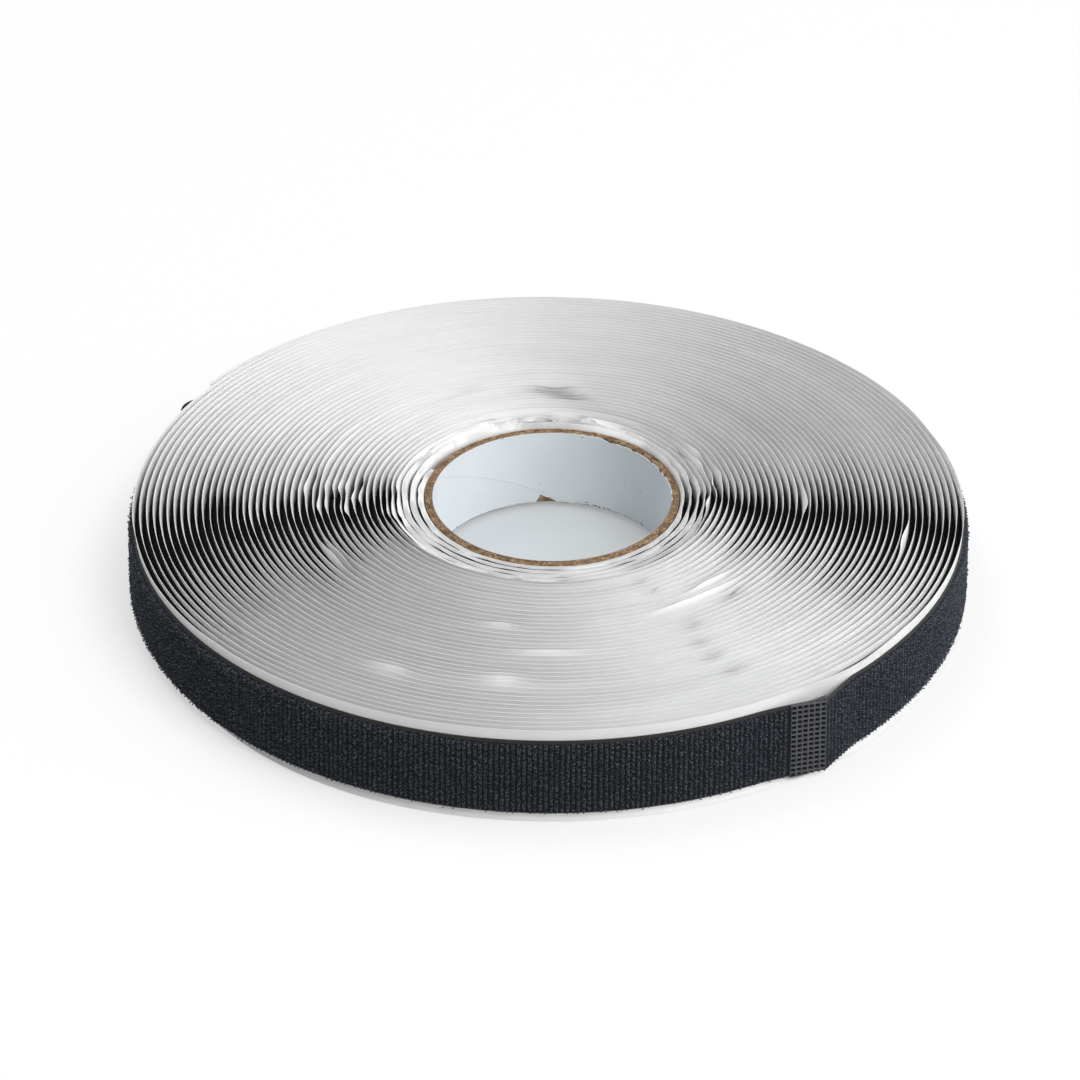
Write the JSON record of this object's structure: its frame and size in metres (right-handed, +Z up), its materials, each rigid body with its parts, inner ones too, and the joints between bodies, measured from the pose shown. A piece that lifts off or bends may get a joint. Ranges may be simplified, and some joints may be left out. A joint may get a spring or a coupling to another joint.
{
  "type": "hook tape roll",
  "caption": "Flat roll of black self-adhesive hook tape on a paperboard core, wound with a wider white release liner; its free end lifts off the roll and the liner peels from it.",
  "frame": {"origin": "on the roll's axis, at the table it lies on", "axes": "+Z up along the core's axis; -Y is the side that the picture is taken from and +X is its right"},
  "size_m": [0.264, 0.265, 0.031],
  "materials": {
    "core_facing": "satin",
    "kraft_board": "matte",
    "wound_turns": "satin",
    "release_liner": "satin",
    "hook_tape": "matte"
  },
  "bodies": {
    "roll": {"core_inner_facing": "core_facing", "core_board_ply_1": "kraft_board", "core_board_ply_2": "kraft_board", "core_board_ply_3": "kraft_board", "core_board_ply_4": "kraft_board", "inner_turns": "wound_turns", "release_liner": "release_liner", "hook_tape_first_length": "hook_tape", "hook_tape_second_length": "hook_tape"},
    "tape_tail_1": {"hook_tape_tail_1": "hook_tape"},
    "liner_tail_1": {"release_liner_tail_1": "release_liner"},
    "tape_tail_2": {"hook_tape_tail_2": "hook_tape"},
    "liner_tail_2": {"release_liner_tail_2": "release_liner"},
    "tape_tail_3": {"hook_tape_tail_3": "hook_tape"},
    "liner_tail_3": {"release_liner_tail_3": "release_liner"},
    "tape_tail_4": {"hook_tape_tail_4": "hook_tape"},
    "liner_tail_4": {"release_liner_tail_4": "release_liner"},
    "tape_tail_5": {"hook_tape_tail_5": "hook_tape"},
    "liner_tail_5": {"release_liner_tail_5": "release_liner"}
  },
  "joints": [
    {"name": "tape_lift_1", "type": "hinge", "parent": "roll", "child": "tape_tail_1", "pos_m": [-0.04988, 0.12348, 0.0155], "axis": [0, 0, -1], "range_deg": [0, 24]},
    {"name": "liner_peel_1", "type": "hinge", "parent": "roll", "child": "liner_tail_1", "pos_m": [-0.04924, 0.12189, 0.0155], "axis": [0, 0, -1], "range_deg": [0, 11]},
    {"name": "tape_lift_2", "type": "hinge", "parent": "tape_tail_1", "child": "tape_tail_2", "pos_m": [-0.0658, 0.11584, 0.0155], "axis": [0, 0, -1], "range_deg": [0, 24]},
    {"name": "liner_peel_2", "type": "hinge", "parent": "liner_tail_1", "child": "liner_tail_2", "pos_m": [-0.06495, 0.11434, 0.0155], "axis": [0, 0, -1], "range_deg": [0, 11]},
    {"name": "tape_lift_3", "type": "hinge", "parent": "tape_tail_2", "child": "tape_tail_3", "pos_m": [-0.08057, 0.10615, 0.0155], "axis": [0, 0, -1], "range_deg": [0, 24]},
    {"name": "liner_peel_3", "type": "hinge", "parent": "liner_tail_2", "child": "liner_tail_3", "pos_m": [-0.07953, 0.10478, 0.0155], "axis": [0, 0, -1], "range_deg": [0, 11]},
    {"name": "tape_lift_4", "type": "hinge", "parent": "tape_tail_3", "child": "tape_tail_4", "pos_m": [-0.09393, 0.0946, 0.0155], "axis": [0, 0, -1], "range_deg": [0, 24]},
    {"name": "liner_peel_4", "type": "hinge", "parent": "liner_tail_3", "child": "liner_tail_4", "pos_m": [-0.09272, 0.09337, 0.0155], "axis": [0, 0, -1], "range_deg": [0, 11]},
    {"name": "tape_lift_5", "type": "hinge", "parent": "tape_tail_4", "child": "tape_tail_5", "pos_m": [-0.10565, 0.08137, 0.0155], "axis": [0, 0, -1], "range_deg": [0, 24]},
    {"name": "liner_peel_5", "type": "hinge", "parent": "liner_tail_4", "child": "liner_tail_5", "pos_m": [-0.10429, 0.08032, 0.0155], "axis": [0, 0, -1], "range_deg": [0, 11]}
  ],
  "couplings": [
    {"joint": "liner_peel_1", "follows": "tape_lift_1", "ratio": 0.45},
    {"joint": "tape_lift_2", "follows": "tape_lift_1", "ratio": 1},
    {"joint": "liner_peel_2", "follows": "tape_lift_1", "ratio": 0.45},
    {"joint": "tape_lift_3", "follows": "tape_lift_1", "ratio": 1},
    {"joint": "liner_peel_3", "follows": "tape_lift_1", "ratio": 0.45},
    {"joint": "tape_lift_4", "follows": "tape_lift_1", "ratio": 1},
    {"joint": "liner_peel_4", "follows": "tape_lift_1", "ratio": 0.45},
    {"joint": "tape_lift_5", "follows": "tape_lift_1", "ratio": 1},
    {"joint": "liner_peel_5", "follows": "tape_lift_1", "ratio": 0.45}
  ]
}
